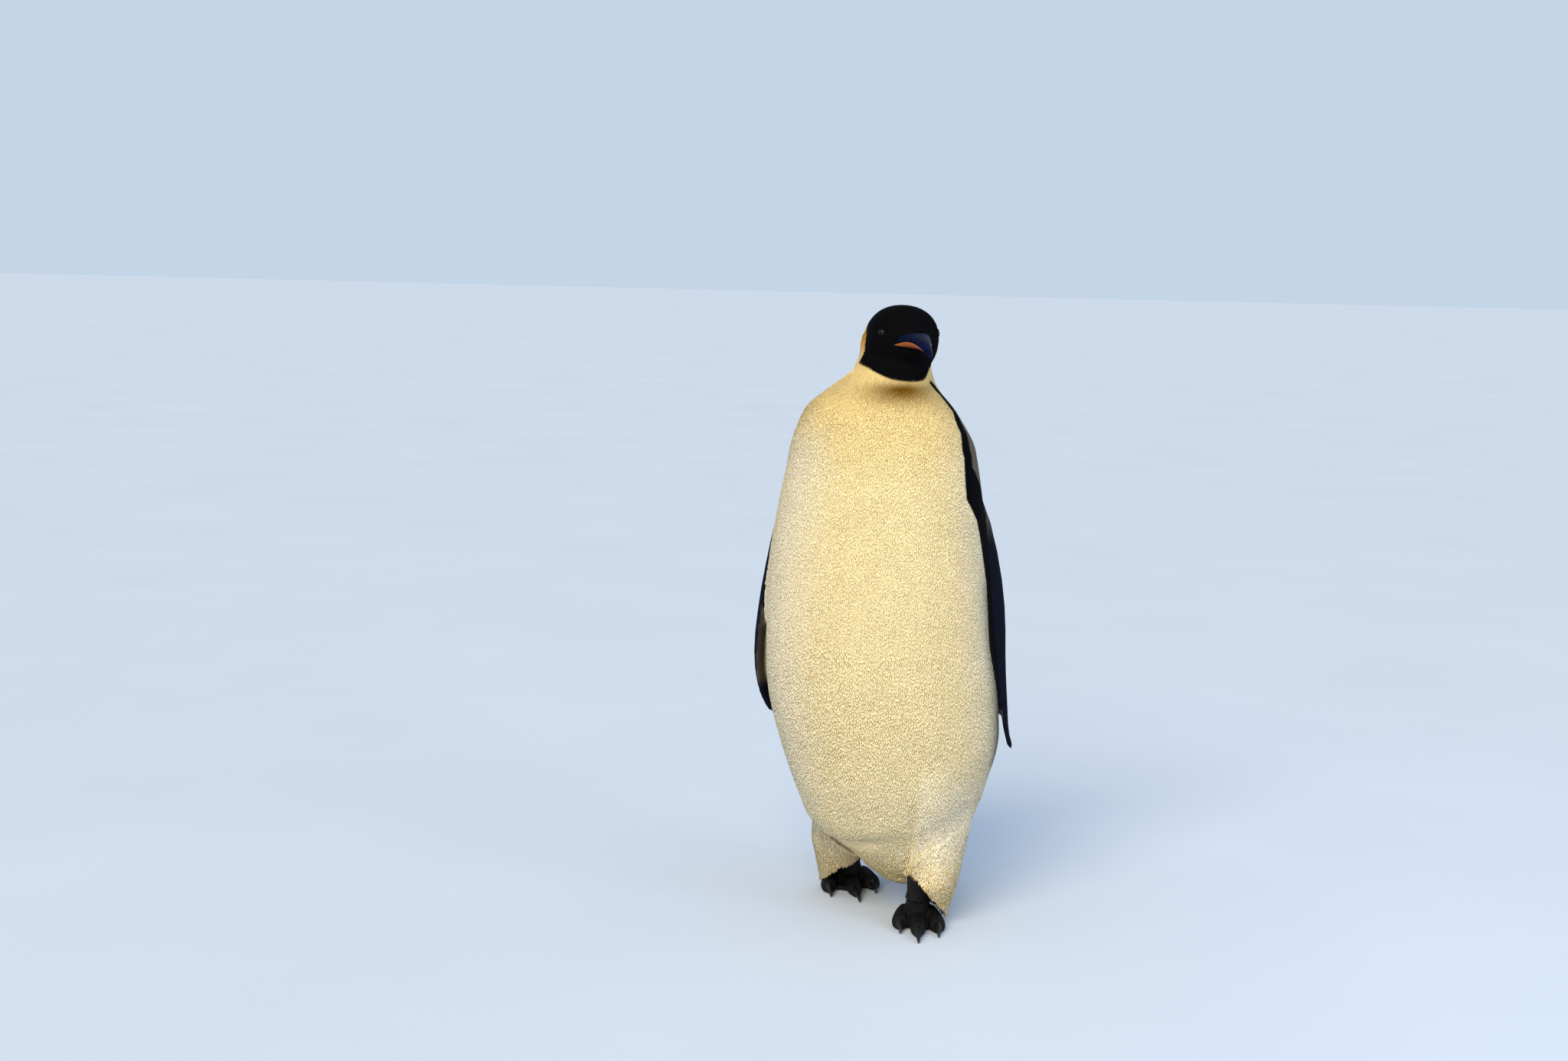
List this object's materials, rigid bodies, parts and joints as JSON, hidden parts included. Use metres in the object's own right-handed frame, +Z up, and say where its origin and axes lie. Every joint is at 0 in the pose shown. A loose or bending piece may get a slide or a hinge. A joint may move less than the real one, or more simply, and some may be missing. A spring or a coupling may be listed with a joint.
{
  "type": "emperor penguin model",
  "caption": "Life-size still model of an adult emperor penguin standing in mid stride, black hood, yellow breast, pale belly.",
  "frame": {"origin": "on the floor under the middle of the bird's bounding box", "axes": "+Z up, -Y the way the bird walks and faces, +X the bird's left side"},
  "size_m": [0.448, 0.4428, 1.0486],
  "materials": {
    "plumage_pale": "soft feather, satin",
    "plumage_yellow": "soft feather, satin",
    "plumage_black": "dense feather, faint blue sheen",
    "foot_skin": "scaly, satin",
    "horn": "smooth horn, semi-gloss",
    "bill_plate": "smooth horn, semi-gloss",
    "eye": "polished, dark brown"
  },
  "bodies": {
    "root": {"trunk": "plumage_pale", "neck": "plumage_yellow", "head": "plumage_black", "tail": "plumage_black", "leg_left": "plumage_pale", "leg_right": "plumage_pale", "flipper_left": "plumage_black", "flipper_right": "plumage_black", "foot_left": "foot_skin", "foot_right": "foot_skin", "claw_left_inner": "horn", "claw_left_middle": "horn", "claw_left_outer": "horn", "claw_right_inner": "horn", "claw_right_middle": "horn", "claw_right_outer": "horn", "bill_upper": "horn", "bill_lower": "horn", "bill_plate_left": "bill_plate", "bill_plate_right": "bill_plate", "eye_left": "eye", "eye_right": "eye"}
  },
  "joints": []
}
